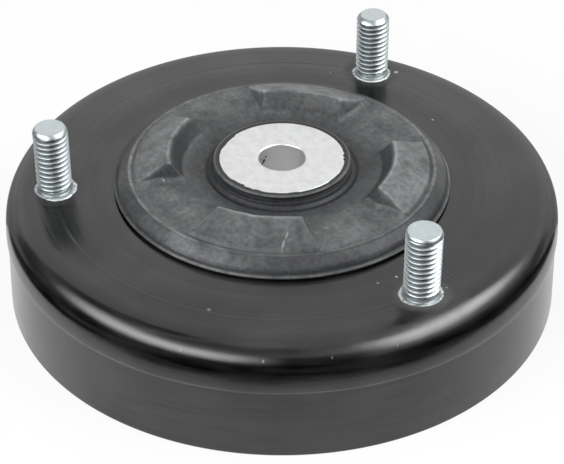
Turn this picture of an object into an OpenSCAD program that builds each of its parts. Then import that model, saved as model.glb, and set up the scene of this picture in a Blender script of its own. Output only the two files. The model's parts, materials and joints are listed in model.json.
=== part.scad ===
// Strut mount: a pressed steel cap with press-in studs, a lobed rubber bearing and an aluminium sleeve.
// Millimetres. The skirt's rim stands on z = 0, +Z runs up along the strut's axis, +X passes through a stud.

/* [Cap] */
// Height of the flat top face above the rim
cap_h = 27; // [22:0.5:34]
// Thickness of the pressed sheet
sheet_t = 3; // [2:0.1:3.6]
// Outside radius of the rounded top edge
edge_r = 6.8; // [5.8:0.1:8]
// How far the rounded edge stands above the top face
edge_rise = 0.4; // [0.1:0.05:0.8]
// Width of the sloped land, from the crease to the outside of the skirt
land_w = 12.7; // [11.5:0.1:14]
// Depth of the coined crease along the inside of the land
crease_depth = 0.1; // [0.05:0.05:0.2]
// Width of the coined crease
crease_w = 0.4; // [0.2:0.1:0.8]
// Room from the edge of the stud heads to the outside of the skirt
skirt_room = 5.75; // [5:0.25:9]
// How far below the top face the draw line runs round the skirt
draw_drop = 10.1; // [8.5:0.1:14]
// Step in radius at the draw line
draw_step = 0.25; // [0.1:0.05:0.5]
// How much the skirt widens in radius from the draw line to the rim
skirt_flare = 0.55; // [0.1:0.05:1]
// Bevel of the cut edge at the rim
rim_bevel = 0.3; // [0.1:0.05:0.6]

/* [Studs] */
// Number of studs
stud_count = 3; // [2:1:5]
// Diameter of the circle that the studs stand on
stud_pcd = 104; // [98:0.5:120]
// Outside diameter of the thread
stud_d = 8; // [6:0.5:9]
// Height of the studs above the top face
stud_reach = 16.6; // [12:0.2:30]
// Chamfer at the tip of the thread
stud_tip = 0.6; // [0.4:0.1:1.4]
// Diameter of the knurled shoulder pressed into the plate
shoulder_d = 9.5; // [9.2:0.1:11]
// How far the shoulder shows above the top face
shoulder_rise = 0.3; // [0.1:0.1:1]
// Diameter of the head under the plate
head_d = 12.5; // [11.5:0.1:15]
// Thickness of the head
head_t = 2.6; // [1.6:0.1:4]
// Radial clearance of the shoulder in its hole
press_gap = 0.02; // [0.01:0.01:0.1]

/* [Sleeve] */
// Outside diameter of the sleeve
sleeve_d = 28.9; // [24:0.1:30]
// Diameter of the hole for the strut's rod
rod_d = 10.7; // [8.2:0.1:14]
// Height of the sleeve's end above the top face
sleeve_rise = 5.9; // [5:0.1:8]
// How far the sleeve reaches below the plate
sleeve_drop = 14; // [12:0.5:18]
// Chamfer at both ends of the hole
sleeve_chamfer = 0.4; // [0.2:0.1:1]
// Chamfer round the sleeve's outside
sleeve_break = 0.3; // [0.1:0.1:0.6]

/* [Rubber bearing] */
// Radius of the plate's opening, which the neck fills
opening_r = 27; // [25:0.5:30]
// Radius of the upper pad's edge
upper_edge_r = 38.6; // [36.5:0.1:42]
// Radius of the lower pad's edge
lower_edge_r = 37; // [35:0.1:40]
// Height of the upper pad's rim above the plate
upper_rim_h = 4.1; // [3.2:0.1:6]
// Height of the lower pad's rim below the plate
lower_rim_h = 8.5; // [6:0.5:10]
// Height of the upper lobes above the plate
upper_lobe_h = 8; // [6.5:0.1:11]
// Height of the lower lobes below the plate
lower_lobe_h = 15.5; // [13:0.5:18]
// How far the floor between the lobes lies below the pad's rim
floor_drop = 1.1; // [0.4:0.1:1.6]
// Slot under the edge of the upper pad
edge_gap = 0.35; // [0.1:0.05:0.6]
// How far that slot reaches in under the pad
edge_gap_depth = 7; // [4:0.5:9]
// Thickness of the moulded lip along a pad's edge
lip_t = 0.6; // [0.3:0.1:1]
// Width of that lip
lip_w = 0.7; // [0.3:0.1:1.2]
// How far a pad's side leans in from its edge to its rim
side_lean = 3.3; // [2:0.1:4]
// Width of the bead along a pad's rim
bead_w = 1.4; // [0.8:0.1:2]
// How far the bead stands above the groove inside it
bead_rise = 0.2; // [0.1:0.05:0.6]
// Thickness of the rubber round the end of the sleeve
collar_t = 1.2; // [0.8:0.1:1.6]
// How far the collar's face lies inside the sleeve's end
collar_inset = 0.15; // [0.05:0.05:0.4]
// Height of the band at the collar's end
collar_band = 0.6; // [0.3:0.1:0.9]
// Undercut behind that band
collar_undercut = 0.4; // [0.2:0.1:0.6]
// How far the collar widens towards the floor
collar_foot = 1.1; // [0.5:0.1:1.6]
// Width of the channel round the collar's foot
channel_w = 0.9; // [0.4:0.1:1.4]
// Depth of that channel
channel_depth = 0.5; // [0.2:0.1:0.8]

/* [Lobes] */
// Number of lobes on each pad
lobe_count = 4; // [3:1:5]
// Angle from the first stud to the first lobe
lobe_turn = 44; // [0:1:90]
// Radius of a lobe's inner edge
lobe_in_r = 25.7; // [24.5:0.1:27.5]
// How far a lobe's inner face leans in towards the sleeve
lobe_lean = 3.1; // [2:0.1:4]
// Half the angle that a lobe's inner edge spans
lobe_half = 21; // [16:0.5:24]
// Angle of a lobe's flanks to its centre line
lobe_flank = 30; // [22:1:36]
// Draft of a lobe's flanks
lobe_draft = 20; // [8:1:28]
// Step from a lobe's outer edge down to the groove inside the bead
lobe_step = 0.1; // [0.05:0.05:0.5]

/* [Hidden] */
$fn = 96;
arc_steps = 18;
spare = 1;

under_z = cap_h - sheet_t;
stud_circle_r = stud_pcd / 2;
rim_r = stud_circle_r + head_d / 2 + skirt_room;
waist_r = rim_r - skirt_flare;
shoulder_r = waist_r + draw_step;
draw_z = cap_h - draw_drop;
crease_r = rim_r - land_w;
sleeve_r = sleeve_d / 2;
sleeve_top_z = cap_h + sleeve_rise;
sleeve_end_z = under_z - sleeve_drop;

// Centre of the rounded top edge, and the slope of the land that runs into it
edge_c = [shoulder_r - edge_r, cap_h + edge_rise - edge_r];
land_foot = [crease_r + crease_w, cap_h - crease_depth];
land_run = edge_c - land_foot;
land_angle = atan2(land_run.y, land_run.x) + asin(edge_r / norm(land_run));

// Points along an arc, from one angle to another
function arc(centre, radius, from, to) = [
    for (k = [0 : arc_steps])
        let (angle = from + (to - from) * k / arc_steps)
            centre + radius * [cos(angle), sin(angle)]
];

// The radius at which the land's underside meets the flat underside of the plate
inner_start = edge_c + (edge_r - sheet_t) * [-sin(land_angle), cos(land_angle)];
under_crease_r = inner_start.x - (inner_start.y - under_z) / tan(land_angle);

// A pad's half-section from its edge in to the sleeve, as radius and height away from the plate
function pad_section(edge, gap, rim_h, collar_h) = [
    [edge, gap],
    [edge, gap + lip_t],
    [edge - lip_w, gap + lip_t],
    [edge - side_lean, rim_h],
    [edge - side_lean - bead_w, rim_h - bead_rise],
    [sleeve_r + collar_t + collar_foot + channel_w, rim_h - floor_drop],
    [sleeve_r + collar_t + collar_foot, rim_h - floor_drop - channel_depth],
    [sleeve_r + collar_t - collar_undercut, collar_h - collar_band - collar_undercut],
    [sleeve_r + collar_t, collar_h - collar_band],
    [sleeve_r + collar_t, collar_h],
    [sleeve_r, collar_h]
];

upper_pad = pad_section(upper_edge_r, edge_gap, upper_rim_h, sleeve_rise - collar_inset);
lower_pad = pad_section(lower_edge_r, 0, lower_rim_h, sleeve_drop - collar_inset);

// Half-section of the sheet: up the outside from the rim, in to the opening and back along the inside
module cap_section() {
    polygon(concat(
        [[rim_r - rim_bevel, 0], [rim_r, rim_bevel], [waist_r, draw_z], [shoulder_r, draw_z + draw_step]],
        arc(edge_c, edge_r, 0, 90 + land_angle),
        [land_foot, [crease_r, cap_h], [opening_r, cap_h], [opening_r, under_z], [under_crease_r, under_z]],
        arc(edge_c, edge_r - sheet_t, 90 + land_angle, 0),
        [[shoulder_r - sheet_t, draw_z + draw_step], [waist_r - sheet_t, draw_z], [rim_r - sheet_t, 0]]
    ));
}

module at_studs() {
    for (i = [0 : stud_count - 1])
        rotate(i * 360 / stud_count)
            translate([stud_circle_r, 0, 0])
                children();
}

// The pressed cap
module top_cap() {
    color([0.20, 0.20, 0.21])
        difference() {
            rotate_extrude()
                cap_section();
            at_studs()
                translate([0, 0, under_z - spare])
                    cylinder(d = shoulder_d + 2 * press_gap, h = sheet_t + 2 * spare);
        }
}

// One stud: head under the plate, shoulder in the plate, thread above it
module stud() {
    head_edge = head_t / 5;
    tip_z = cap_h + stud_reach;
    rotate_extrude()
        polygon([
            [0, under_z - head_t],
            [head_d / 2 - head_edge, under_z - head_t],
            [head_d / 2, under_z - head_t + head_edge],
            [head_d / 2, under_z],
            [shoulder_d / 2, under_z],
            [shoulder_d / 2, cap_h + shoulder_rise],
            [stud_d / 2, cap_h + shoulder_rise],
            [stud_d / 2, tip_z - stud_tip],
            [stud_d / 2 - stud_tip, tip_z],
            [0, tip_z]
        ]);
}

module stud_set() {
    color([0.74, 0.78, 0.80])
        at_studs()
            stud();
}

// Half-section of the rubber without its lobes: up the outside from the lower pad to the upper one
module rubber_section() {
    slot_r = upper_edge_r - edge_gap_depth;
    last = len(lower_pad) - 1;
    polygon(concat(
        [for (i = [last : -1 : 0]) [lower_pad[i].x, under_z - lower_pad[i].y]],
        [[opening_r, under_z], [opening_r, cap_h], [slot_r, cap_h], [slot_r + edge_gap, cap_h + edge_gap]],
        [for (p = upper_pad) [p.x, cap_h + p.y]]
    ));
}

// Everything on the inner side of one drafted flank of a lobe that points along +X
module flank_side(lobe_h) {
    reach = 2 * upper_edge_r;
    translate([lobe_in_r * cos(lobe_half), lobe_in_r * sin(lobe_half), lobe_h])
        rotate([0, 0, lobe_flank])
            rotate([lobe_draft, 0, 0])
                translate([-reach, -2 * reach, -reach])
                    cube(2 * reach);
}

// The lobes of one pad, standing up from the plate's face at z = 0
module lobes(edge, rim_h, lobe_h) {
    out_r = edge - side_lean - bead_w;
    out_h = rim_h - bead_rise + lobe_step;
    floor_h = rim_h - floor_drop;
    root_h = floor_h - spare;
    for (i = [0 : lobe_count - 1])
        rotate(lobe_turn + i * 360 / lobe_count)
            intersection() {
                rotate_extrude()
                    polygon([
                        [lobe_in_r - lobe_lean, root_h],
                        [out_r, root_h],
                        [out_r, out_h],
                        [lobe_in_r, lobe_h],
                        [lobe_in_r - lobe_lean, floor_h]
                    ]);
                flank_side(lobe_h);
                mirror([0, 1, 0])
                    flank_side(lobe_h);
            }
}

// The rubber moulding, bonded round the plate's opening and along the sleeve
module rubber_bearing() {
    color([0.27, 0.28, 0.30]) {
        rotate_extrude()
            rubber_section();
        translate([0, 0, cap_h])
            lobes(upper_edge_r, upper_rim_h, upper_lobe_h);
        translate([0, 0, under_z])
            mirror([0, 0, 1])
                lobes(lower_edge_r, lower_rim_h, lower_lobe_h);
    }
}

// The turned sleeve
module inner_sleeve() {
    rod_r = rod_d / 2;
    color([0.85, 0.86, 0.86])
        rotate_extrude()
            polygon([
                [rod_r + sleeve_chamfer, sleeve_end_z],
                [sleeve_r - sleeve_break, sleeve_end_z],
                [sleeve_r, sleeve_end_z + sleeve_break],
                [sleeve_r, sleeve_top_z - sleeve_break],
                [sleeve_r - sleeve_break, sleeve_top_z],
                [rod_r + sleeve_chamfer, sleeve_top_z],
                [rod_r, sleeve_top_z - sleeve_chamfer],
                [rod_r, sleeve_end_z + sleeve_chamfer]
            ]);
}

top_cap();
stud_set();
rubber_bearing();
inner_sleeve();
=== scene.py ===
import json
import math
import random
from functools import partial

import bpy
import numpy as np
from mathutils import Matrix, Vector


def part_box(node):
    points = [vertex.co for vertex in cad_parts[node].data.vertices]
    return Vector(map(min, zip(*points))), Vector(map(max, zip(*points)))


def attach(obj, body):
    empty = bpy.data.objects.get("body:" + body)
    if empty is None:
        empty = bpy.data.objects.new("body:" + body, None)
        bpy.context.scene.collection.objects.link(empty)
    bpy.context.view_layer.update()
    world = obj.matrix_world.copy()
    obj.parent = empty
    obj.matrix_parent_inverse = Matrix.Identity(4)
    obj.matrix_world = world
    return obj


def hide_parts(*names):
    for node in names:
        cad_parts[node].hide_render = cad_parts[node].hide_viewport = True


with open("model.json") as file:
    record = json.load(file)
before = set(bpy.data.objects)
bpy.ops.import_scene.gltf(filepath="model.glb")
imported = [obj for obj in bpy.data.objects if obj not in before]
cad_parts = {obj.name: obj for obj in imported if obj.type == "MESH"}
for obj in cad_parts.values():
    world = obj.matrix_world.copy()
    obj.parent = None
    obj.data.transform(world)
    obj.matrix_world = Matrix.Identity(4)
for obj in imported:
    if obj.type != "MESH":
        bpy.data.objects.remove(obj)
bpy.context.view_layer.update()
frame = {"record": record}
random.seed(11)
mm = 0.001
fullTurn = 2 * math.pi

# what the frame gives, in millimetres
mounts = {m["name"]: m for m in frame["record"]["mounts"]}
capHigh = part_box("top_cap")[1] / mm
studLow, studHigh = (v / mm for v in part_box("stud_set"))
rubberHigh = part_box("rubber_bearing")[1] / mm
sleeveLow, sleeveHigh = (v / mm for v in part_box("inner_sleeve"))
plateZ = mounts["body_studs"]["pos_m"][2] / mm
underZ = mounts["spring_seat"]["pos_m"][2] / mm
studCircle = mounts["body_studs"]["dims"]["pcd_mm"] / 2
studCount = mounts["body_studs"]["dims"]["count"]
threadR = mounts["body_studs"]["dims"]["stud_r_mm"]
rodR = mounts["rod_bore"]["dims"]["r_mm"]
sheetT = plateZ - underZ
sleeveR = sleeveHigh.x
studAngles = [fullTurn * k / studCount for k in range(studCount)]
print("frame: cap", round(2 * capHigh.x, 1), "mm across, studs on", 2 * studCircle, "mm")


# Colour and node helpers

def linear(hexColour):
    parts = [int(hexColour[i:i + 2], 16) / 255 for i in (1, 3, 5)]
    return [c / 12.92 if c <= 0.04045 else ((c + 0.055) / 1.055) ** 2.4 for c in parts] + [1.0]


def patternScale(sizeMm):  # texture scale whose features are about this size
    return 1000 / sizeMm


def addNode(tree, kind, settings=None, links=None):  # links come from sockets, or from nodes' first outputs
    node = tree.nodes.new("ShaderNode" + kind)
    for name, value in (settings or {}).items():
        if isinstance(name, str) and hasattr(node, name):
            setattr(node, name, value)
        else:
            node.inputs[name].default_value = value
    for name, source in (links or {}).items():
        socket = source.outputs[0] if hasattr(source, "outputs") else source
        tree.links.new(socket, node.inputs[name])
    return node


def nodesFor(owner):  # empties the owner's tree, and gives what adds nodes to it
    owner.use_nodes = True
    owner.node_tree.nodes.clear()
    return partial(addNode, owner.node_tree)


def newMaterial(name):
    material = bpy.data.materials.new(name)
    add = nodesFor(material)
    shader = add("BsdfPrincipled")
    add("OutputMaterial", links={"Surface": shader})
    place = add("TexCoord")
    return material, add, shader, place.outputs["Object"]


def roundSpot(add, place, middle, outer, inner, most=1):  # soft spot between two radii in mm
    away = add("VectorMath", {"operation": "DISTANCE", 1: middle}, {0: place})
    return add("MapRange", {"From Min": outer * mm, "From Max": inner * mm, "To Max": most},
               {"Value": away.outputs["Value"]})


def finishShader(add, shader, look, layers, gloss, height):  # layers: names of colours, and their shares
    colour = None
    for name, share in layers:
        below = {6: colour.outputs[2]} if colour else {}
        colour = add("Mix", {"data_type": "RGBA", 6: linear(look["colour"]), 7: linear(look[name])},
                     {0: share, **below})
    strength, depth = look["relief"]
    bump = add("Bump", {"Strength": strength, "Distance": depth}, {"Height": height})
    ends = {"Base Color": colour.outputs[2], "Roughness": gloss.outputs[0], "Normal": bump.outputs[0]}
    for name, source in ends.items():
        shader.id_data.links.new(source, shader.inputs[name])
    for name, value in look["shader"].items():
        shader.inputs[name].default_value = value
    return bump


# Mesh helpers

def polar(radius, angle):
    return radius * math.cos(angle), radius * math.sin(angle)


def ringPoints(r, z, angles):
    return np.stack([r * np.cos(angles), r * np.sin(angles), z + 0 * angles], -1)


def addObject(name, data):
    obj = bpy.data.objects.new(name, data)
    bpy.context.scene.collection.objects.link(obj)
    return obj


def aimObject(obj, place, direction):
    obj.location = place
    obj.rotation_mode = "QUATERNION"
    obj.rotation_quaternion = direction.to_track_quat("-Z", "Y")


def meshObject(name, points, faces):
    mesh = bpy.data.meshes.new(name)
    mesh.from_pydata([tuple(p) for p in points], [], faces)
    mesh.validate()
    return addObject(name, mesh)


def addValues(obj, name, values):  # one number for each point, which a material reads by this name
    data = obj.data.attributes.new(name, "FLOAT", "POINT").data
    data.foreach_set("value", np.asarray(values, np.float32).ravel())


def gridFaces(rows, columns, closedRows, closedColumns=True):
    faces = []
    for i in range(rows if closedRows else rows - 1):
        below, above = i * columns, (i + 1) % rows * columns
        for j in range(columns if closedColumns else columns - 1):
            k = (j + 1) % columns
            faces.append((below + j, below + k, above + k, above + j))
    return faces


def smooth(obj, sharpAngle=38):
    obj.data.shade_smooth()
    obj.data.set_sharp_from_angle(angle=math.radians(sharpAngle))
    return obj


def lathe(name, section, columns):  # section: closed line of (r, z) in mm, counter-clockwise, r to the right
    angles = np.linspace(0, fullTurn, columns, endpoint=False)
    r, z = (np.array(v)[:, None] for v in zip(*section))
    points = ringPoints(r, z, angles).reshape(-1, 3) * mm
    return meshObject(name, points, gridFaces(len(section), columns, True))


def rounded(corners, steps=5):  # corners: (r, z, rounding) along an open line
    line = []
    last = len(corners) - 1
    for i, (r, z, rounding) in enumerate(corners):
        here = complex(r, z)
        if rounding == 0 or i in (0, last):
            line.append((r, z))
            continue
        before = complex(*corners[i - 1][:2]) - here
        after = complex(*corners[i + 1][:2]) - here
        reach = min(1.4 * rounding, 0.45 * abs(before), 0.45 * abs(after))  # under half way to a neighbour
        start, end = here + before / abs(before) * reach, here + after / abs(after) * reach
        for k in range(steps + 1):
            t = k / steps
            p = (1 - t) ** 2 * start + 2 * t * (1 - t) * here + t * t * end
            line.append((p.real, p.imag))
    return line


def arc(centre, radius, fromAngle, toAngle, steps):
    turns = np.radians(np.linspace(fromAngle, toAngle, steps + 1))
    return [(centre[0] + radius * math.cos(t), centre[1] + radius * math.sin(t)) for t in turns]


def addPiece(obj, material, node):
    obj.data.materials.clear()
    obj.data.materials.append(material)
    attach(obj, "root")
    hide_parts(node)
    return obj


# Pressed cap: black dip coat on drawn steel

cap = {
    "columns": 288,
    "edgeR": 6.8,  # rounded top edge
    "tailR": 25.0,  # slacker end of that edge, where it runs into the skirt
    "tailAngle": 8,
    "creaseR": 51.3, "creaseW": 0.4, "creaseDepth": 0.07,
    "drawZ": 16.9,  # line left on the skirt by the drawing die
    "drawStep": 0.25,
    "flare": 0.55, "rimBevel": 0.3, "openingR": 27.0,
    "holeR": 4.77, "holeSides": 64,
    "holeTurn": 2,  # degrees that keep the holes' corners off the cap's columns, for a clean cut
    "cutterReach": 1,
    "rippleMm": 5.5,  # faint rings left in the plate by the press
    "rippleDepth": 0.012,
    "ripples": [(1, 1), (0.6, 1.7)],  # share and stretch of each wave in them
    "seatR": 8.6,  # shallow seats pressed round the studs
    "seatW": 4.0, "seatDepth": 0.06,
    "ringGap": 0.5,  # from one ring of the mesh to the next on the plate
    "underRingR": 40.0,
    "steps": {"tail": 8, "edge": 44, "land": 7, "inner": 20},
}
coat = {
    "colour": "#040403",
    "shader": {"IOR": 1.6},
    "roughness": (0.15, 0.27),
    "relief": (0.06, 0.0004),  # strength, and depth in metres
    "peelMm": 3.2,  # orange peel of the coat, drawn a little coarse so that it shows
    "streakMm": 1.1,  # drawing streaks round the skirt
    "streakStretch": (0.06, 0.06, 1.0), "streakShare": 0.5, "patchMm": 16,
    "markMm": 0.7,  # score marks that the die left over the draw line, drawn coarse so that they show
    "markRise": 0.8, "markReach": 1.9, "markDepth": 3.0,
    # between two radii the plate is this much duller than its edge, and glossier again beside the rubber
    "dullPlate": (58, 52, 0.05),
    "cleanPlate": (rubberHigh.x + 3, rubberHigh.x, 0.15),
    # drops of the plate and land between two radii, in mm, as they show in the gloss
    "slopes": [(47.0, 49.0, -0.08), (49.0, 51.0, -0.17), (51.3, 51.7, 0.06), (51.7, 55.5, -0.64),
               (55.5, 56.5, -0.13), (56.5, 57.5, -0.06), (57.5, 58.5, 0.03), (58.5, 59.5, 0.05),
               (59.5, 60.5, 0.03)],
    "thin": "#1d1d1d",  # where the film is thin and dull, and the painted lightening round the first stud
    "thinFrom": 0.09, "thinTo": 0.18,
    "ringMm": 2.6,  # faint rings that the press left in the film
    "rings": (0.2, 0.8),
    # faint dull discs round the studs where the press held the plate, the wide first one also painted light
    # over the stud's dark reflection: stud, radius and width of the soft edge
    "clamps": [(0, 11.5, 5.0), (0, 6.7, 0.5), (1, 7.4, 0.9), (2, 7.4, 0.9)],
    "clampDull": 0.2, "clampMottle": (0.35, 0.6, 0.35),
    "rub": "#5c5c5c",  # painted highlight: a pale line of colour along the draw line
    "highlightRise": 0.3, "highlightReach": (0.55, 0.1), "highlightMost": 0.7,
    "dust": "#b9b9b3",
    # scuffed plate round the first stud, then flecks of dust and small scratches: radius and angle in mm and
    # degrees, size in mm, then strength
    "flecks": [(52.0, 0, 6.9, 0.2), (44.4, -1, 0.4, 0.9), (44.2, -7, 0.3, 0.7), (53.8, 6, 0.35, 0.6),
               (50.7, -52, 0.55, 0.3), (54.7, 114, 0.65, 0.9), (48.4, 131, 0.3, 0.4), (44.0, 90, 0.35, 0.8),
               (62.3, -38, 0.28, 0.34), (62.3, -54, 0.22, 0.2), (62.1, -25, 0.24, 0.2),
               (62.1, -12, 0.24, 0.15)],
    "fleckCore": 0.4,
}


def blackDipCoat():  # even black film with a soft gloss, so the eye reads it by what it mirrors
    material, add, shader, place = newMaterial("black dip-coated steel")
    level = add("VectorMath", {"operation": "MULTIPLY", 1: (1, 1, 0)}, {0: place})
    radius = add("VectorMath", {"operation": "LENGTH"}, {0: level}).outputs["Value"]
    height = add("SeparateXYZ", links={0: place}).outputs["Z"]
    stretch = add("Mapping", {"Scale": coat["streakStretch"]}, {"Vector": place})
    peel, streak, patch = (
        add("TexNoise", {"Scale": patternScale(coat[size]), "Detail": detail}, {"Vector": where})
        for size, detail, where in (("peelMm", 2, place), ("streakMm", 3, stretch), ("patchMm", 2, place)))
    mark, ring = (
        add("TexNoise", {"noise_dimensions": "1D", "Scale": patternScale(coat[size]),
                         "Detail": detail}, {"W": where})
        for size, detail, where in (("markMm", 1, height), ("ringMm", 2, radius)))
    fromMarks, fromHighlight = (
        add("Math", {"operation": "SUBTRACT", 1: (cap["drawZ"] + rise) * mm}, {0: height})
        for rise in (coat["markRise"], coat["highlightRise"]))
    offMarks, offHighlight = (add("Math", {"operation": "ABSOLUTE"}, {0: away})
                        for away in (fromMarks, fromHighlight))

    # heights of the film's relief, and of the plate's slopes
    zone = add("MapRange",
               {"From Min": coat["markReach"] * mm, "From Max": 0, "To Max": coat["markDepth"]},
               {"Value": offMarks})
    patchyZone = add("Math", {"operation": "MULTIPLY"}, {0: zone, 1: patch})
    skin = add("Math", {"operation": "MULTIPLY_ADD", 1: coat["streakShare"]}, {0: streak, 2: peel})
    relief = add("Math", {"operation": "MULTIPLY_ADD"}, {0: mark, 1: patchyZone, 2: skin})
    upper = add("Math", {"operation": "GREATER_THAN", 1: (underZ + sheetT / 2) * mm}, {0: height})
    fall = None
    for start, end, drop in coat["slopes"]:
        slope = add("MapRange",
                    {"From Min": start * mm, "From Max": end * mm, "To Max": drop * mm},
                    {"Value": radius})
        fall = add("Math", {"operation": "ADD"}, {0: fall, 1: slope}) if fall else slope
    upperFall = add("Math", {"operation": "MULTIPLY"}, {0: fall, 1: upper})

    # gloss, and where the film is thin, with painted lightening round the first stud
    least, most = coat["roughness"]
    gloss = add("MapRange", {"To Min": least, "To Max": most}, {"Value": streak})
    for change, (start, end, amount) in (("ADD", coat["dullPlate"]), ("SUBTRACT", coat["cleanPlate"])):
        share = add("MapRange",
                    {"From Min": start * mm, "From Max": end * mm, "To Max": amount}, {"Value": radius})
        gloss = add("Math", {"operation": change}, {0: gloss, 1: share})
    least, most = coat["rings"]
    softRing = add("MapRange", {"To Min": least, "To Max": most}, {"Value": ring})
    lines = add("Math", {"operation": "MULTIPLY"}, {0: streak, 1: softRing})
    uneven = add("Math", {"operation": "MULTIPLY"}, {0: lines, 1: patch})
    thin = add("MapRange", {"From Min": coat["thinFrom"], "From Max": coat["thinTo"]}, {"Value": uneven})
    start, end, least = coat["clampMottle"]
    mottle = add("MapRange", {"From Min": start, "From Max": end, "To Min": least}, {"Value": peel})
    for which, clampR, softness in coat["clamps"]:
        middle = [*polar(studCircle * mm, studAngles[which]), 0]
        disc = roundSpot(add, level, middle, clampR, clampR - softness)
        # each disc dulls the gloss and pales the colour; on the first stud's wide disc the paler colour is
        # painted light
        discShare = add("Math", {"operation": "MULTIPLY"}, {0: disc, 1: mottle})
        thin = add("Math", {"operation": "MAXIMUM"}, {0: thin, 1: discShare})
        gloss = add("Math", {"operation": "MULTIPLY_ADD", 1: coat["clampDull"]}, {0: discShare, 2: gloss})

    # painted highlight along the draw line, and dust
    outer, inner = coat["highlightReach"]
    onHighlight = add("MapRange",
                {"From Min": outer * mm, "From Max": inner * mm, "To Max": coat["highlightMost"]},
                {"Value": offHighlight})
    lightened = add("Math", {"operation": "MULTIPLY"}, {0: onHighlight, 1: patch})
    dust = None
    for out, angle, size, strength in coat["flecks"]:
        middle = [*polar(out * mm, math.radians(angle)), 0]
        fleck = roundSpot(add, level, middle, size, coat["fleckCore"] * size, strength)
        dust = add("Math", {"operation": "MAXIMUM"}, {0: dust, 1: fleck}) if dust else fleck
    layers = [("thin", thin), ("rub", lightened), ("dust", dust)]
    bump = finishShader(add, shader, coat, layers, gloss, relief)
    bump = add("Bump", {"Strength": 1, "Distance": 1}, {"Height": upperFall, "Normal": bump})
    shader.id_data.links.new(bump.outputs[0], shader.inputs["Normal"])
    return material


def capSection():
    rimR, waistR = capHigh.x, capHigh.x - cap["flare"]
    shoulderR = waistR + cap["drawStep"]
    drawZ, stepZ = cap["drawZ"], cap["drawZ"] + cap["drawStep"]
    edgeR, tail, bevel, steps = cap["edgeR"], cap["tailAngle"], cap["rimBevel"], cap["steps"]
    centre = (shoulderR - edgeR, capHigh.z - edgeR)
    foot = (cap["creaseR"] + cap["creaseW"], plateZ - cap["creaseDepth"])
    run = complex(*centre) - complex(*foot)
    slope = math.degrees(math.atan2(run.imag, run.real) + math.asin(edgeR / abs(run)))
    backR, backZ = polar(edgeR - cap["tailR"], math.radians(tail))
    tailCentre = (centre[0] + backR, centre[1] + backZ)
    pull = tailCentre[0] + cap["tailR"] - shoulderR  # the tail stands out by this: the edge moves in by half
    skirt = rounded([(rimR - sheetT, 0, 0), (rimR - bevel, 0, 0.1), (rimR, bevel, 0.2), (waistR, drawZ, 0.15),
                     (shoulderR, stepZ, 0.2), (shoulderR, stepZ + cap["drawStep"], 0)])
    edge = arc(tailCentre, cap["tailR"], 0, tail, steps["tail"])
    edge += arc(centre, edgeR, tail, 90 + slope, steps["edge"])[1:]
    edge = [(r - pull / 2, z) for r, z in edge]
    endR, endZ = edge[-1]
    land = [(endR + (foot[0] - endR) * t, endZ + (foot[1] - endZ) * t)
            for t in np.linspace(0, 1, steps["land"] + 1)[1:]]
    plate = []
    for r in np.arange(cap["creaseR"], cap["openingR"], -cap["ringGap"]):
        ripple = sum(share * math.sin(fullTurn * r / (cap["rippleMm"] * long))
                     for share, long in cap["ripples"])
        plate.append((r, plateZ + cap["rippleDepth"] * ripple))
    inner = arc(centre, edgeR - sheetT, 90 + slope, 0, steps["inner"])
    underCrease = inner[0][0] - (inner[0][1] - underZ) / math.tan(math.radians(slope))
    under = [(cap["openingR"], plateZ)]
    under += [(r, underZ) for r in (cap["openingR"], cap["underRingR"], underCrease)]
    wall = [(shoulderR - sheetT, stepZ), (waistR - sheetT, drawZ)]
    return skirt + edge + land + plate + under + inner + wall


def pressSeats(obj):
    for angle in studAngles:
        centre = Vector((*polar(studCircle, angle), 0)) * mm
        for vertex in obj.data.vertices:
            away = (vertex.co - centre).xy.length / mm
            if away < cap["seatR"] and vertex.co.z > (underZ + sheetT / 2) * mm:
                t = min(1, (cap["seatR"] - away) / cap["seatW"])
                vertex.co.z -= cap["seatDepth"] * mm * t * t * (3 - 2 * t)
    return obj


def cutStudHoles(obj):
    count = cap["holeSides"]
    ring = arc((0, 0), cap["holeR"], cap["holeTurn"], cap["holeTurn"] + 360, count)[:-1]
    points, faces = [], []
    for angle in studAngles:
        x, y = polar(studCircle, angle)
        first = len(points)
        for z in (underZ - cap["cutterReach"], capHigh.z + cap["cutterReach"]):
            points += [((x + u) * mm, (y + v) * mm, z * mm) for u, v in ring]
        low, high = range(first, first + count), range(first + count, first + 2 * count)
        faces += [tuple(reversed(low)), tuple(high)]
        faces += [tuple(first + k for k in face) for face in gridFaces(2, count, False)]
    cutter = meshObject("studHoleCutter", points, faces)
    hole = obj.modifiers.new("studHoles", "BOOLEAN")
    hole.operation = "DIFFERENCE"
    hole.solver = "EXACT"
    hole.object = cutter
    cut = bpy.data.meshes.new_from_object(obj.evaluated_get(bpy.context.evaluated_depsgraph_get()))
    obj.modifiers.clear()
    obj.data = cut
    bpy.data.objects.remove(cutter)
    return obj


capPiece = smooth(cutStudHoles(pressSeats(lathe("pressedCap", capSection(), cap["columns"]))))
addPiece(capPiece, blackDipCoat(), "top_cap")
print("cap: ", len(capPiece.data.polygons), "faces")


# Press-in studs: zinc plate on rolled steel

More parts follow.
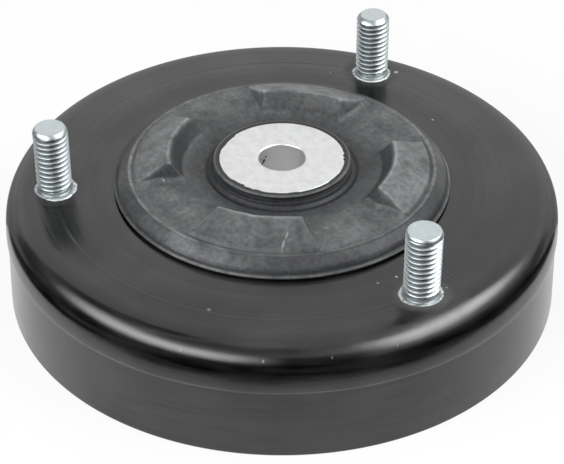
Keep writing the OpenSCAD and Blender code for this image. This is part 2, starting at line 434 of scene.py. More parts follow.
zinc = {
    "colour": "#dbe4e6",
    "dull": "#666d70",  # darker colour: painted shade in the roots of the thread and in the valley by the foot ring, and a duller tone on its cut ends
    "dullCrest": 0.1,  # how dull and shaded each place is, from 0 to 1
    "rootShade": 0.7, "dullEnd": 0.12,
    "shader": {"Metallic": 1},
    "roughness": 0.32,
    "rolled": 0.44,  # roughness of the thread
    "grainMm": 1.5, "grainShare": 0.3,
    "relief": (0.04, 0.00005),
    "burr": "#cdd1d1",  # bare ring squeezed up round the foot
    "burrDark": "#7d807f", "burrMm": 0.7, "burrSpecks": (0.5, 0.66), "burrRough": 0.2,
    "burrValley": 0.2,  # share of its colour in the valley beside the thread
}
stud = {
    "columns": 72, "pitch": 1.25,
    "samples": 18,  # rings for each turn of the thread
    "flat": 0.12,  # share of a turn that is flat on the crests and in the roots
    "rootR": 3.25, "runOutR": 3.62, "runOut": 1.4, "runOutDrop": 0.05,
    "threadFrom": 0.75,  # start of the thread above the plate
    "leadFrom": 0.8,  # the first turn cuts in gradually below the end, from this share of its edge
    "lead": 0.5,
    # for each stud: radius of its end face, height of its rounded edge, spread of the ring round its foot
    "each": [(3.5, 0.75, 0.17), (2.95, 1.1, 0.06), (3.3, 0.95, 0.36)],
    "edgeCurve": 0.7,
    "edgeGap": 0.08,  # from the last ring of the thread to the end face
    # end face, inward: share of that ring's radius, then mm inward and down
    "end": [(1, 0.05, 0.02), (1, 0.14, 0), (0.8, 0, 0), (0.68, 0, 0.05), (0.35, 0, 0.03)],
    "axisR": 0.02,  # small face that closes each end
    "shoulderR": 4.75, "shoulderRise": 0.3,
    # ring squeezed up round the foot, inward: radius past the shoulder, share of the spread, depth below the
    # ring's top, shares of the chips and of the ragged lip
    "ring": [(0, 1, 0.28, 1, 0), (-0.12, 1, 0.1, 1, 1), (-0.2, 0, 0.02, 0.5, 1), (-0.55, 0, 0.08, 0.3, -0.5),
             (-0.8, 0, 0.22, 0, 0), (-1, 0, 0.2, 0, 0)],
    "ragged": [(-0.2, 0.1), (-0.16, 0.1), (-0.6, 1.2)],  # ranges of the chips, the lip and the dull spots
    "headR": 6.25, "headEdge": 0.52, "headGap": 0.05,
}


def zincPlate():  # bluish bright metal with a fine cloudy grain
    material, add, shader, place = newMaterial("zinc-plated steel")
    grain, crumb = (
        add("TexNoise", {"Scale": patternScale(zinc[size]), "Detail": detail}, {"Vector": place})
        for size, detail in (("grainMm", 4), ("burrMm", 2)))
    rolled, burr = (add("Attribute", {"attribute_name": name}).outputs["Fac"]
                    for name in ("rolled", "burr"))
    cloudy = add("Math", {"operation": "MULTIPLY_ADD", 1: zinc["grainShare"]}, {0: grain, 2: rolled})
    gloss = add("MapRange", {"To Min": zinc["roughness"], "To Max": zinc["rolled"]}, {"Value": cloudy})
    gloss = add("Math", {"operation": "MULTIPLY_ADD", 1: zinc["burrRough"]}, {0: burr, 2: gloss})
    least, most = zinc["burrSpecks"]
    dark = add("MapRange", {"From Min": least, "From Max": most}, {"Value": crumb})
    darkBurr = add("Math", {"operation": "MULTIPLY"}, {0: burr, 1: dark})
    # the darker colour follows rolled, which holds painted shade in the thread's roots
    layers = [("dull", cloudy), ("burr", burr), ("burrDark", darkBurr)]
    finishShader(add, shader, zinc, layers, gloss, grain)
    return material


def threadRadius(z, angle, start, tipZ, tipR, tipDrop):
    phase = (z - start) / stud["pitch"] - angle / fullTurn
    flank = np.abs(2 * (phase % 1) - 1)
    crest = np.clip((flank - stud["flat"]) / (1 - 2 * stud["flat"]), 0, 1)
    fade = np.clip((z - start) / stud["runOut"], 0, 1)
    cut = stud["rootR"] + (threadR - stud["rootR"]) * crest
    thread = stud["runOutR"] + (cut - stud["runOutR"]) * fade
    end = np.clip((tipZ - z) / tipDrop, 0, 1)
    tip = tipR + (threadR - tipR) * end ** stud["edgeCurve"]
    lead = np.clip((tipZ - z - stud["leadFrom"] * tipDrop) / stud["lead"], 0, 1)
    return tip + (np.minimum(thread, tip) - tip) * lead


def studMesh(name, centreAngle, tipR, tipDrop, spread):
    columns = stud["columns"]
    angles = np.linspace(0, fullTurn, columns, endpoint=False)
    flat = np.ones_like(angles)
    draws = [np.array([random.uniform(*span) for a in angles]) for span in stud["ragged"]]
    chips, lip, dull = ((np.roll(v, -1) + v + np.roll(v, 1)) / 3 for v in draws)
    foot = plateZ - cap["seatDepth"]  # a stud sits as deep as its seat
    top = foot + stud["shoulderRise"]
    tipZ, headZ, headTop = studHigh.z - cap["seatDepth"], studLow.z, underZ - stud["headGap"]
    shoulder, headR, headEdge = stud["shoulderR"], stud["headR"], stud["headEdge"]
    rows = [(stud["axisR"] * flat, headZ), (0.5 * headR * flat, headZ)]
    head = rounded([(0.6 * headR, headZ, 0), (headR - headEdge, headZ, 0.2), (headR, headZ + headEdge, 0.3),
                    (headR, headTop, 0.05), (shoulder, headTop, 0)])
    rows += [(r * flat, z) for r, z in head]
    ringStart = len(rows)
    rows += [(shoulder * flat, underZ), (shoulder * flat, foot - 0.02)]
    for out, share, down, chipped, ragged in stud["ring"]:
        rows.append((shoulder + out + share * spread + chipped * chips, top - down + ragged * lip))
    rows.append((stud["runOutR"] * flat, top - stud["runOutDrop"]))
    threadStart = len(rows)
    start = top + stud["threadFrom"] - stud["shoulderRise"]
    count = int((tipZ - start) / stud["pitch"] * stud["samples"])
    for z in np.linspace(start, tipZ - stud["edgeGap"], count):
        rows.append((threadRadius(z, angles, start, tipZ, tipR, tipDrop), z))
    threadEnd = len(rows)
    tip = rows[-1][0]
    rows += [(share * tip - inward, tipZ - down) for share, inward, down in stud["end"]]
    rows.append((stud["axisR"] * flat, tipZ - 0.02))

    # how dull and painted-shaded each ring is, and how far it belongs to the bare ring round the foot
    rolled, burr = [zinc["dullEnd"] * flat for row in rows], [0 * flat for row in rows]
    for k in range(ringStart, threadStart - 1):
        rolled[k], burr[k] = np.clip(dull, 0, 1), flat
    for k in range(threadStart - 3, threadStart - 1):  # painted shade: dark valley between the ring and the thread
        rolled[k], burr[k] = flat, zinc["burrValley"] * flat
    for k in range(threadStart, threadEnd):
        r, z = rows[k]
        depth = np.clip((threadR - r) / (threadR - stud["rootR"]), 0, 1)
        # painted shade in the roots, deeper with the depth of the thread
        rolled[k] = zinc["dullCrest"] + zinc["rootShade"] * depth * np.clip((tipZ - z) / tipDrop + 0.4, 0, 1)
    last = (len(rows) - 1) * columns
    faces = gridFaces(len(rows), columns, False)
    faces += [tuple(range(columns - 1, -1, -1)), tuple(range(last, last + columns))]
    centre = [*polar(studCircle, centreAngle), 0]
    points = np.concatenate([ringPoints(r, z, angles) for r, z in rows]) + centre
    obj = meshObject(name, points * mm, faces)
    addValues(obj, "rolled", rolled)
    addValues(obj, "burr", burr)
    return smooth(obj, 50)


zincMaterial = zincPlate()
for number, (angle, own) in enumerate(zip(studAngles, stud["each"]), 1):
    addPiece(studMesh(f"stud{number}", angle, *own), zincMaterial, "stud_set")


# Rubber bearing: moulded, with lobes on both pads

rubberLook = {
    "colour": "#1c1d1f",
    "worn": "#8a8c8d",
    "shader": {"IOR": 1.4},
    "roughness": (0.44, 0.6),
    "grainMm": 0.6,
    "relief": (0.25, 0.0002),
    "scuffMm": 1.1, "cloudMm": 5.5,
    "cloudy": (0.5, 1.5),  # how far clouds and scuffs vary the wear
    "scuffed": (0.66, 1.34),
    "noiseRange": (0.3, 0.7),
    "bloom": (0.4, 0.75, 0.09),
    "mark": "#a9acab",
    # pale marks: radius and angle of the middle, half length, half width and direction
    "marks": [(27.6, 249.5, 0.4, 0.3, 0), (32.4, -34, 1.7, 0.36, -47), (30.2, -32.5, 1.0, 0.2, -55),
              (25.9, -12.6, 0.6, 0.3, 40), (26.0, 222, 0.5, 0.35, 0)],
    "markRagged": 0.9, "markEdge": (1.5, 0.6, 0.6),
}


def mouldedRubber():  # dull blue-grey skin, paler where the mould or handling has rubbed it, and where highlights are painted
    material, add, shader, place = newMaterial("moulded rubber")
    grain, scuff, cloud = (
        add("TexNoise", {"Scale": patternScale(rubberLook[size]), "Detail": detail,
                         "Roughness": rough}, {"Vector": place})
        for size, detail, rough in (("grainMm", 3, 0.5), ("scuffMm", 5, 0.65), ("cloudMm", 3, 0.5)))
    start, end, most = rubberLook["bloom"]
    bloom = add("MapRange", {"From Min": start, "From Max": end, "To Max": most}, {"Value": scuff})
    # wear holds wear, and also painted highlights and shade
    lightened = add("Attribute", {"attribute_name": "wear"}).outputs["Fac"]
    low, high = rubberLook["noiseRange"]
    for noise, (least, most) in ((cloud, rubberLook["cloudy"]), (scuff, rubberLook["scuffed"])):
        uneven = add("MapRange", {"From Min": low, "From Max": high, "To Min": least,
                                  "To Max": most}, {"Value": noise})
        lightened = add("Math", {"operation": "MULTIPLY"}, {0: lightened, 1: uneven}).outputs[0]
    total = add("Math", {"operation": "ADD", "use_clamp": True}, {0: lightened, 1: bloom})
    layers = [("worn", total)]
    level = add("VectorMath", {"operation": "MULTIPLY", 1: (1, 1, 0)}, {0: place})
    start, end, most = rubberLook["markEdge"]
    for out, angle, along, across, direction in rubberLook["marks"]:
        spot = [*polar(out * mm, math.radians(angle)), 0]
        local = add("Mapping", {"vector_type": "TEXTURE", "Location": spot,
                                "Rotation": (0, 0, math.radians(direction)),
                                "Scale": (along * mm, across * mm, 1)}, {0: level})
        away = add("VectorMath", {"operation": "LENGTH"}, {0: local})
        ragged = add("Math", {"operation": "MULTIPLY_ADD", 1: rubberLook["markRagged"]},
                     {0: grain, 2: away.outputs["Value"]})
        mark = add("MapRange", {"From Min": start, "From Max": end, "To Max": most}, {"Value": ragged})
        layers.append(("mark", mark))
    least, most = rubberLook["roughness"]
    gloss = add("MapRange", {"To Min": least, "To Max": most}, {"Value": scuff})
    finishShader(add, shader, rubberLook, layers, gloss, grain)
    return material


lobe = {
    "count": 4,
    "turn": 44,  # degrees from the first stud to the first lobe
    "inR": 25.7,
    "lean": 3.1,  # of the inner faces, in mm
    "half": 21, "flank": 30, "draft": 20,
    "blend": 0.55,  # rounding of the moulded edges
    "baseBlend": 1.21,  # and of the corner at the floor
    "unevenness": 1.4,
    "close": 22.2,  # degrees to the middle of a flank's columns, which stand close together
    "closeSpan": (-2, 5), "closeReach": 16, "columns": (11, 20, 11),
    "edgeWidth": 0.5, "edgeDrop": 0.4, "edgeIn": 0.1, "crownBlend": 0.6,
    "crowns": [0.5, 0.4, 0.34, 0.22],  # how pale the top of each lobe is: rubbed, with painted light that differs from lobe to lobe
    "faces": [0.04, 0.14, 0.03, 0.05],  # and its flanks
    "edges": [0.45, 0.2, 0.42, 0.62],  # and its inner edge, rubbed and with a painted highlight
    "sides": 0.2,  # and the edges along the flanks, rubbed and with a painted highlight
}
lobeTurn = fullTurn / lobe["count"]
pads = {
    "upper": {"edge": rubberHigh.x, "gap": 0.35, "rim": 4.1, "lobeH": rubberHigh.z - plateZ,
              "end": sleeveHigh.z - plateZ, "rows": 66, "film": True},
    "lower": {"edge": 37.0, "gap": 0.0, "rim": 8.5, "lobeH": 15.5,
              "end": underZ - sleeveLow.z, "rows": 34, "film": False},
}
pad = {
    "lipT": 0.6, "lipW": 0.7, "sideLean": 3.3, "beadW": 1.4, "beadRise": 0.2, "floorDrop": 1.1,
    "collarT": 1.2, "collarInset": 0.15, "band": 0.4, "foot": 1.1, "channelW": 0.9, "channelDepth": 0.35,
    "lobeStep": 0.1, "slotDepth": 7.0,
    # the collar below its band: radius past the collar's, depth below the band, rounding
    "collarSide": [(0, 0, 0.12), (-0.75, 0.15, 0.1), (-0.75, 1.1, 0.1), (0.12, 1.3, 0.12), (0.3, 2.2, 0.3)],
    # the bead: radius past the groove's, height over the rim, rounding
    "bead": [(0.05, -0.2, 0), (0.4, -0.16, 0.4), (1.1, 0.02, 0.6), (1.8, -0.1, 0.8)],
    # the lip: distance in from its edge, height over its top, rounding
    "lip": [(1.05, 1.25, 0.8), (0.7, 0, 0.2), (0, -0.15, 0.1)],
    "rowShares": [0.17, 0.5, 0.33],  # most rows go to the lobes' inner faces and top edges
    "steps": 4,
}
collarR = sleeveR + pad["collarT"]
footR = collarR + pad["foot"]
channelR = footR + pad["channelW"]
for p in pads.values():
    p["floorH"] = p["rim"] - pad["floorDrop"]
    p["grooveR"] = p["edge"] - pad["sideLean"] - pad["beadW"]
# how pale each place is: rubbed pale, with painted highlight and shade where marked
padWearAndLight = {
    "collar": 0.3, "groove": 0.27, "bead": (0.16, 0.2), "side": 0.05, "lip": 0.1, "lipEdge": 0.24,
    "floor": (0.08, 0.21, 19, 8),  # at the channel, and how much more outward: from a radius, over a width
    "footShade": (0.06, 0.5, 0.7),  # painted shade: how much darker at the lobes' feet: height and width
    "lipHighlightSwing": (0.4, 0.6, 0.9),  # painted highlight: the lip is paler on its lit side
    "sideBands": [(295, 19, 0.26), (238, 12, 0.09), (355, 10, 0.08), (62, 15, 0.3)],  # paler bands round the side: angle, spread and amount
}
# film of rubber on the sleeve's end, with tongues: angle, half width in degrees and reach
film = {
    "reach": 0.04, "ragged": 0.03, "waves": (31, 7), "soft": 1.5,
    "edge": [(0, 0), (0.03, 0.05)],  # mm outward and up from where it ends
    "over": (0.2, 0.06), "root": (0.5, 0.05),  # and from the sleeve's side
    "tongues": [(207, 12, 0.5), (217, 6, 0.36), (227, 4, 0.2), (280, 5, 0.34), (287, 3, 0.5), (295, 3, 0.22),
                (303, 4, 0.32), (318, 3, 0.15), (336, 5, 0.2), (52, 3, 0.44), (58, 3, 0.5), (66, 2, 0.25),
                (20, 8, 0.12), (160, 5, 0.16), (95, 4, 0.14), (126, 6, 0.12), (250, 6, 0.16)],
}
lift = {"at": 256, "humps": [(0.16, 0.5), (0.08, 1.5)], "wave": 0.03, "waves": 5, "fade": 4}
# unevenness of the moulding, in mm
lumps = {"count": 7, "height": 0.045, "from": 4.0, "to": 13.0, "fades": (2, 1.5)}
lumpDraw = random.Random(5)
lumpWaves = [(fullTurn / lumpDraw.uniform(lumps["from"], lumps["to"]), lumpDraw.uniform(0, fullTurn),
              lumpDraw.uniform(0, fullTurn)) for k in range(lumps["count"])]


def lumpy(r, angle):
    x, y = r * np.cos(angle), r * np.sin(angle)
    return lumps["height"] * sum(np.sin(wave * (x * math.cos(way) + y * math.sin(way)) + phase)
                                 for wave, way, phase in lumpWaves)


def softMin(values, blend):
    lowest = np.minimum.reduce(values)
    return lowest - blend * np.log(sum(np.exp((lowest - v) / blend) for v in values))


def degreesFrom(columns, angle):  # from a direction to each column, -180 to 180
    return (np.degrees(columns) + lobe["turn"] - angle + 180) % 360 - 180


def offLobe(angle):  # from the middle of the nearest lobe
    return (angle + lobeTurn / 2) % lobeTurn - lobeTurn / 2


def lobeAngles():  # columns for one lobe, close together along its flanks
    near, far = (lobe["close"] + d for d in lobe["closeSpan"])
    before, along, after = lobe["columns"]
    side = np.concatenate([np.linspace(0, near, before, endpoint=False),
                           np.linspace(near, far, along, endpoint=False),
                           np.linspace(far, 180 / lobe["count"], after)])
    return np.radians(np.concatenate([-side[::-1][:-1], side[1:-1], [0]]))


def flankAngle(r):  # where a flank's top edge crosses the radius r
    start, lean = math.radians(lobe["half"]), math.radians(lobe["flank"])
    inR = lobe["inR"]
    along = inR * math.cos(lean - start)
    t = -along + np.sqrt(np.maximum(along ** 2 - inR ** 2 + r ** 2, 1))
    return np.arctan2(inR * math.sin(start) + t * math.sin(lean), inR * math.cos(start) + t * math.cos(lean))


def lobeHeight(p, r, angle):  # height of the lobes, and how pale they are: rubbed, with painted light and highlights
    local = offLobe(angle)
    x, y = r * np.cos(local), np.abs(r * np.sin(local))
    start, lean, draft = (math.radians(lobe[k]) for k in ("half", "flank", "draft"))
    inR, floorH, tall = lobe["inR"], p["floorH"], p["lobeH"]
    outH = p["rim"] - pad["beadRise"] + pad["lobeStep"]
    outside = (-math.sin(lean) * (x - inR * math.cos(start)) + math.cos(lean) * (y - inR * math.sin(start))
               + lobe["unevenness"] * lumpy(r, angle))
    flank = tall - outside / math.tan(draft)
    top = tall + (outH - tall) * (r - inR) / (p["grooveR"] - inR)
    inner = floorH + (tall - floorH) * (r - inR + lobe["lean"]) / lobe["lean"]
    number = np.floor((angle + lobeTurn / 2) % fullTurn / lobeTurn).astype(int)
    crowns, faces, edges = (np.array(lobe[k])[number] for k in ("crowns", "faces", "edges"))
    width, drop = lobe["edgeWidth"], lobe["edgeDrop"]
    crown = crowns * np.clip((np.minimum(flank, inner) - top) / lobe["crownBlend"] + 0.5, 0, 1)
    edge = edges * np.exp(-((r - inR - lobe["edgeIn"]) / width) ** 2) * (flank > top - drop)
    side = lobe["sides"] * np.exp(-((top - flank) / (2 * width)) ** 2) * (inner > top - drop)
    return softMin([flank, top, inner], lobe["blend"]), faces + edge + side + crown


def liftedLip(columns):  # the thin lip stands off the plate a little on one side
    away = np.radians(degreesFrom(columns, lift["at"]))
    humps = sum(high * np.exp(-(away / wide) ** 2) for high, wide in lift["humps"])
    return humps + lift["wave"] * np.sin(lift["waves"] * columns)


def filmEdge(columns):
    long, short = (np.sin(k * columns) for k in film["waves"])
    edge = sleeveR - film["reach"] + film["ragged"] * long * short
    for angle, half, reach in film["tongues"]:
        away = np.abs(degreesFrom(columns, angle))
        edge = np.minimum(edge, sleeveR - reach * np.clip((half - away) / film["soft"], 0, 1))
    return edge


def rimWearAndLight(p, r, h, columns):
    lipTop, lipR = p["gap"] + pad["lipT"], p["edge"] - pad["lipW"]
    if h < p["gap"] + 0.1 or (abs(h - lipTop) < 0.3 and abs(r - lipR) < 0.17):
        return 0 * columns  # painted shade: dark crease above the lip, dark underside
    wear = padWearAndLight["side"] + 0 * columns
    for angle, spread, amount in padWearAndLight["sideBands"]:
        wear += amount * np.exp(-(degreesFrom(columns, angle) / spread) ** 2)
    onTop = h > p["rim"] - 0.3
    if onTop and r < p["grooveR"] + 0.7:
        wear = padWearAndLight["groove"] + 0 * columns
    elif onTop and r < p["grooveR"] + pad["beadW"]:
        # the bead's crest is rubbed pale, with a painted highlight that grows toward two opposite sides
        least, swing = padWearAndLight["bead"]
        wear = wear + least + swing * np.abs(np.cos(columns))
    # the lip and its outer edge are paler: painted highlight, strongest on the lit side
    if r > lipR + 0.15:
        paler = padWearAndLight["lipEdge"] if r > p["edge"] - 0.2 else padWearAndLight["lip"]
        level, swing, ahead = padWearAndLight["lipHighlightSwing"]
        wear = wear + paler * np.clip(level + swing * np.cos(columns + ahead), 0, 1)
    return wear


# the next three give rows of radius, height, angle and wear with painted light, from the sleeve out to the
# plate's opening

def collarRows(p, columns):
    ones = np.ones_like(columns)
    collarH = p["end"] - pad["collarInset"]
    bandZ = collarH - pad["band"]
    rows = []
    start = (sleeveR, collarH, 0)
    if p["film"]:  # ragged film that crept over the sleeve's end in the mould
        crept = filmEdge(columns)
        rows += [(crept + out, (p["end"] + up) * ones, columns, 0 * ones) for out, up in film["edge"]]
        out, up = film["over"]
        rows.append(((sleeveR + out) * ones, (p["end"] + up) * ones, columns, 0 * ones))
        out, up = film["root"]
        start = (sleeveR + out, p["end"] + up, 0)
    line = [start, (collarR, collarH, 0.2)]
    line += [(collarR + out, bandZ - down, rounding) for out, down, rounding in pad["collarSide"]]
    line += [(footR, p["floorH"] - pad["channelDepth"], 0.2), (channelR, p["floorH"], 0)]
    for r, h in rounded(line, pad["steps"]):
        paler = padWearAndLight["collar"] if r > sleeveR + 0.8 and h > bandZ + 0.15 else 0
        rows.append((r * ones, h * ones, columns, paler * ones))
    return rows


def lobeRows(p, columns):
    rows = []
    close, reach = math.radians(lobe["close"]), math.radians(lobe["closeReach"])
    inFoot = lobe["inR"] - lobe["lean"]
    marks = [channelR + 0.1, inFoot - 0.4, lobe["inR"] + 1, p["grooveR"]]
    radii = [np.linspace(a, b, int(p["rows"] * share), endpoint=False)
             for a, b, share in zip(marks, marks[1:], pad["rowShares"])]
    rise = p["rim"] - pad["beadRise"] - p["floorH"]
    for radius in np.concatenate(radii):
        r = radius + 0 * columns
        base = p["floorH"] + rise * (r - channelR) / (p["grooveR"] - channelR)
        local = offLobe(columns)
        window = np.clip(1 - np.abs(np.abs(local) - close) / reach, 0, 1)  # columns that follow a flank
        angle = columns + np.sign(local) * (flankAngle(r) - close) * window * (r > inFoot)
        tall, lobeWearAndLight = lobeHeight(p, r, angle)
        share = np.clip((tall - base) / 0.4 + 0.2, 0, 1)
        least, more, start, over = padWearAndLight["floor"]
        floorTone = least + more * np.clip((r - start) / over, 0, 1)
        # painted shade at the feet of the lobes
        darker, high, wide = padWearAndLight["footShade"]
        footShade = darker * np.exp(-((tall - base - high) / wide) ** 2)
        wear = np.maximum(floorTone + (lobeWearAndLight - floorTone) * share - footShade, 0)
        inFade, outFade = lumps["fades"]
        settle = np.clip((r - channelR) / inFade, 0, 1) * np.clip((p["grooveR"] - r) / outFade, 0, 1)
        height = -softMin([-base, -tall], lobe["baseBlend"]) + lumpy(r, angle) * settle
        rows.append((r, height, angle, wear))
    return rows


def rimRows(p, columns):
    rows = []
    lipTop, slotR = p["gap"] + pad["lipT"], p["edge"] - pad["slotDepth"]
    line = [(p["grooveR"] + out, p["rim"] + up, rounding) for out, up, rounding in pad["bead"]]
    line += [(p["edge"] - inward, lipTop + up, rounding) for inward, up, rounding in pad["lip"]]
    line.append((p["edge"], p["gap"], 0.1))
    if p["gap"]:
        line += [(slotR + p["gap"], p["gap"], 0.1), (slotR, 0, 0)]
    line.append((cap["openingR"], 0, 0))
    for r, h in rounded(line, pad["steps"]):
        lifted = np.clip((r - slotR) / lift["fade"], 0, 1) * (p["gap"] > 0 and h < lipTop + 0.3)
        rows.append((r + 0 * columns, h + lifted * liftedLip(columns), columns, rimWearAndLight(p, r, h, columns)))
    return rows


def rubberMesh(name):
    columns = np.sort(np.concatenate([lobeAngles() + k * lobeTurn for k in range(lobe["count"])]))
    ones, turn = np.ones_like(columns), math.radians(lobe["turn"])
    upper, lower = (collarRows(p, columns) + lobeRows(p, columns) + rimRows(p, columns)
                    for p in pads.values())
    loop = [(sleeveR * ones, z * ones, columns, 0 * ones)
            for z in (sleeveLow.z + 2, sleeveHigh.z - 2, sleeveHigh.z)]
    loop += [(r, plateZ + h, a, w) for r, h, a, w in upper]
    loop += [(r, underZ - h, a, w) for r, h, a, w in lower[::-1]]
    points = np.concatenate([ringPoints(r, z, a + turn) for r, z, a, w in loop])
    obj = meshObject(name, points * mm, gridFaces(len(loop), len(columns), True))
    addValues(obj, "wear", [w for r, z, a, w in loop])
    return smooth(obj, 60)


rubberPiece = addPiece(rubberMesh("rubberBearing"), mouldedRubber(), "rubber_bearing")
print("rubber:", len(rubberPiece.data.polygons), "faces")


# Sleeve: turned aluminium

aluminium = {
    "colour": "#e3e4e4",
    "shader": {"Metallic": 1},
    "roughness": (0.28, 0.48),
    "mottleMm": 2.2,
    "relief": (0.1, 0.0002),
    "cloud": "#d6d7d6", "cloudFrom": (0.35, 0.7),
    "speckMm": 0.55, "speck": "#b4b5b5", "speckFrom": (0.64, 0.78),
    "bore": "#e9e9e9",  # lighter colour in the hole: painted light on the shaded bore
    "boreEdge": 0.1,
    "pit": "#2a2a28",
    # pits in the hole's wall: angle, height and size
    "pits": [(197, 29.6, 0.6), (203, 29.1, 0.45), (190, 30.4, 0.35), (208, 30.6, 0.3)],
    "pitCore": 0.5,
}
sleeve = {"columns": 192, "chamfer": 0.27, "break": 0.2, "rounding": 0.1}


def turnedAluminium():  # pale bare metal, slightly clouded, with a few dark pits
    material, add, shader, place = newMaterial("turned aluminium")
    mottle, speckle = (
        add("TexNoise", {"Scale": patternScale(aluminium[size]), "Detail": detail}, {"Vector": place})
        for size, detail in (("mottleMm", 4), ("speckMm", 2)))
    cloud, speck = (
        add("MapRange", {"From Min": start, "From Max": end}, {"Value": noise})
        for noise, (start, end) in ((mottle, aluminium["cloudFrom"]), (speckle, aluminium["speckFrom"])))
    level = add("VectorMath", {"operation": "MULTIPLY", 1: (1, 1, 0)}, {0: place})
    radius = add("VectorMath", {"operation": "LENGTH"}, {0: level}).outputs["Value"]
    # painted light: the bore's wall takes a lighter colour
    bore = add("Math", {"operation": "LESS_THAN", 1: (rodR + aluminium["boreEdge"]) * mm}, {0: radius})
    layers = [("cloud", cloud), ("speck", speck), ("bore", bore)]
    for angle, height, size in aluminium["pits"]:
        middle = [*polar(rodR * mm, math.radians(angle)), height * mm]
        layers.append(("pit", roundSpot(add, place, middle, size, aluminium["pitCore"] * size)))
    least, most = aluminium["roughness"]
    gloss = add("MapRange", {"To Min": least, "To Max": most}, {"Value": mottle})
    finishShader(add, shader, aluminium, layers, gloss, mottle)
    return material


def sleeveSection():
    low, high, chamfer, edge = sleeveLow.z, sleeveHigh.z, sleeve["chamfer"], sleeve["break"]
    corners = [(rodR + chamfer, low), (sleeveR - edge, low), (sleeveR, low + edge), (sleeveR, high - edge),
               (sleeveR - edge, high), (rodR + chamfer, high), (rodR, high - chamfer), (rodR, low + chamfer)]
    line = [(r, z, sleeve["rounding"]) for r, z in corners[-1:] + corners + corners[:1]]
    return rounded(line, 4)[1:-1]


sleevePiece = smooth(lathe("innerSleeve", sleeveSection(), sleeve["columns"]))
addPiece(sleevePiece, turnedAluminium(), "inner_sleeve")
print("sleeve:", len(sleevePiece.data.polygons), "faces")


# Camera: the photograph's own viewpoint

view = {
    "azimuth": 55.54,  # degrees round from -Y
    "pitch": 36.254,
    "distance": 346.75,  # mm out from the axis
    "height": 265.97,  # mm above the floor
    "lens": 116.75,
}
turn, pitch = math.radians(view["azimuth"]), math.radians(view["pitch"])
outward = Vector((math.sin(turn), -math.cos(turn), 0))
lookDown = Vector((0, 0, -math.sin(pitch))) - outward * math.cos(pitch)
cameraData = bpy.data.cameras.new("camera")
cameraData.lens = view["lens"]
cameraData.clip_start = 0.01
camera = addObject("camera", cameraData)
aimObject(camera, outward * view["distance"] * mm + Vector((0, 0, view["height"] * mm)), lookDown)
bpy.context.scene.camera = camera


# Studio: white floor and surround, two softboxes, dark and grey cards that the camera doesn't see

studio = {
    "surround": "#ffffff",
    "floor": "#f4f4f4",
    "floorHalf": 3.0,  # metres
    "floorGlow": 0.85,  # share of the floor's white that doesn't depend on the lamps
    "fill": 0.45,  # strength of the surround as a lamp
    "cardReach": 0.9,  # metres from the mount to the cards
    "cardGrid": (61, 9),
    "floorColumns": 73,
    "floorLift": 0.0005,  # metres from the floor up to its cards
    "boxReach": 0.6,
    "boxGrid": (33, 25),
    "boxEdge": 0.3,  # glow of a softbox at its edges
    "lampSize": (0.6, 0.3),
}
# each softbox lights at a plain level, and its bright face, softer toward its edges, shows in the gloss only
softboxes = [
    {"name": "Left", "azimuth": (-177, -82), "elevation": (15, 47), "lamp": 3.2, "face": 7.6},
    {"name": "Right", "azimuth": (60, 147), "elevation": (21, 66), "lamp": 2.0, "face": 9.5},
]
# dark and grey cards: their glow runs along the azimuth, evenly spaced
cards = [
    {"name": "low", "azimuth": (58, 302), "elevation": (-4, 16), "glow": [0.16, 0.02, 0, 0, 0, 0.02, 0.16]},
    {"name": "left", "azimuth": (-100, -60), "elevation": (-4, 74), "glow": [0.03, 0.12, 0.2]},
    {"name": "front", "azimuth": (148, 194), "elevation": (14, 43), "glow": [0, 0]},
    {"name": "top", "azimuth": (165, 245), "elevation": (50, 78), "glow": [0.4, 0.4]},
    {"name": "back", "azimuth": (-58, 58), "elevation": (-4, 14), "glow": [0.75, 0.75]},
]
# cards on the floor, beyond the white near the mount: their glow runs outward with the reach, in metres
floorCards = [
    {"name": "floorFront", "azimuth": (76, 284), "reach": [0.094, 0.91], "glow": [0, 0]},
    {"name": "floorBack", "azimuth": (-76, 76), "reach": [0.075, 0.14, 0.3, 0.91],
     "glow": [0.33, 0.4, 0.57, 0.7]},
]
aim = Vector((0, 0, plateZ * mm))


def toward(azimuth, elevation, reach):  # azimuth from the line away from the camera, positive to its right
    a, e = math.radians(azimuth), math.radians(elevation)
    right = Vector((math.cos(turn), math.sin(turn), 0))
    level = right * math.sin(a) - outward * math.cos(a)
    return (level * math.cos(e) + Vector((0, 0, math.sin(e)))) * reach


def dome(columns, rows, reach):
    return [[aim + toward(a, e, reach) for a in columns] for e in rows]


def behindWhite(add):  # 1 for what the camera, gloss and clear pieces see
    path = add("LightPath")
    gloss = add("Math", {"operation": "MAXIMUM"},
                {0: path.outputs["Is Camera Ray"], 1: path.outputs["Is Glossy Ray"]})
    return add("Math", {"operation": "MAXIMUM"}, {0: gloss, 1: path.outputs["Is Transmission Ray"]})


def whiteSurround():
    bpy.context.scene.world = bpy.data.worlds.new("studio")
    add = nodesFor(bpy.context.scene.world)
    white = linear(studio["surround"])
    fill, seen = (add("Background", {"Color": white, "Strength": strength})
                  for strength in (studio["fill"], 1))
    mix = add("MixShader", links={0: behindWhite(add), 1: fill, 2: seen})
    add("OutputWorld", links={"Surface": mix})


def whiteFloor():
    half = studio["floorHalf"]
    corners = [(-half, -half, 0), (half, -half, 0), (half, half, 0), (-half, half, 0)]
    floor = meshObject("floor", corners, [(0, 1, 2, 3)])
    material = bpy.data.materials.new("matt white floor")
    add = nodesFor(material)
    paint = add("BsdfDiffuse", {"Color": linear(studio["floor"])})
    glow = add("Emission", {"Color": linear(studio["surround"]), "Strength": 1})
    share = add("Math", {"operation": "MULTIPLY", 1: studio["floorGlow"]}, {0: behindWhite(add)})
    mix = add("MixShader", links={0: share, 1: paint, 2: glow})
    add("OutputMaterial", links={"Surface": mix})
    floor.data.materials.append(material)


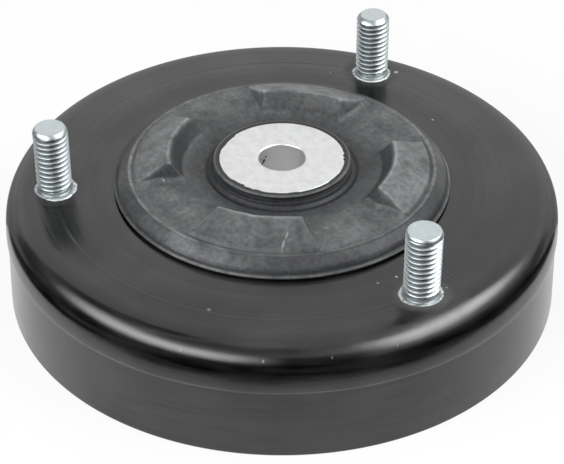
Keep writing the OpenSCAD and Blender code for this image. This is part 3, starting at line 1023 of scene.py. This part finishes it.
def addSheet(name, rows, glow):  # a stiff sheet through rows of points, which shows in the gloss only
    material = bpy.data.materials.new(name + " face")
    add = nodesFor(material)
    strength = add("Attribute", {"attribute_name": "glow"}).outputs["Fac"]
    light = add("Emission", links={"Strength": strength})
    add("OutputMaterial", links={"Surface": light})
    faces = gridFaces(len(rows), len(rows[0]), False, False)
    sheet = meshObject(name, [p for row in rows for p in row], faces)
    sheet.data.materials.append(material)
    addValues(sheet, "glow", glow)
    sheet.visible_camera = False
    sheet.visible_diffuse = False
    sheet.visible_shadow = False


def addCards():
    wide, high = studio["cardGrid"]
    for card in cards:
        columns, rows = np.linspace(*card["azimuth"], wide), np.linspace(*card["elevation"], high)
        glow = np.interp(columns, np.linspace(*card["azimuth"], len(card["glow"])), card["glow"])
        addSheet(card["name"] + "Card", dome(columns, rows, studio["cardReach"]), np.tile(glow, high))
    lifted = Vector((0, 0, studio["floorLift"]))
    for card in floorCards:
        columns = np.linspace(*card["azimuth"], studio["floorColumns"])
        rows = [[toward(a, 0, reach) + lifted for a in columns] for reach in card["reach"]]
        addSheet(card["name"] + "Card", rows, np.repeat(card["glow"], len(columns)))


def addSoftbox(box):
    wide, high = studio["boxGrid"]
    columns, rows = np.linspace(*box["azimuth"], wide), np.linspace(*box["elevation"], high)
    across, up = np.linspace(-1, 1, wide), np.linspace(-1, 1, high)
    glow = np.outer((1 - up ** 2) ** 1.5, (1 - across ** 4) ** 1.5) * box["face"] + studio["boxEdge"]
    addSheet("face" + box["name"], dome(columns, rows, studio["boxReach"]), glow)
    middle = toward(sum(box["azimuth"]) / 2, sum(box["elevation"]) / 2, studio["boxReach"])
    data = bpy.data.lights.new("softbox" + box["name"], "AREA")
    data.shape = "RECTANGLE"
    data.size, data.size_y = studio["lampSize"]
    data.energy = box["lamp"]
    lamp = addObject("softbox" + box["name"], data)
    aimObject(lamp, aim + middle, -middle)
    lamp.visible_camera = False
    lamp.visible_glossy = False


whiteSurround()
whiteFloor()
addCards()
for box in softboxes:
    addSoftbox(box)
bpy.context.scene.view_settings.view_transform = "Standard"
print("studio: lamps, cards and floor in place")
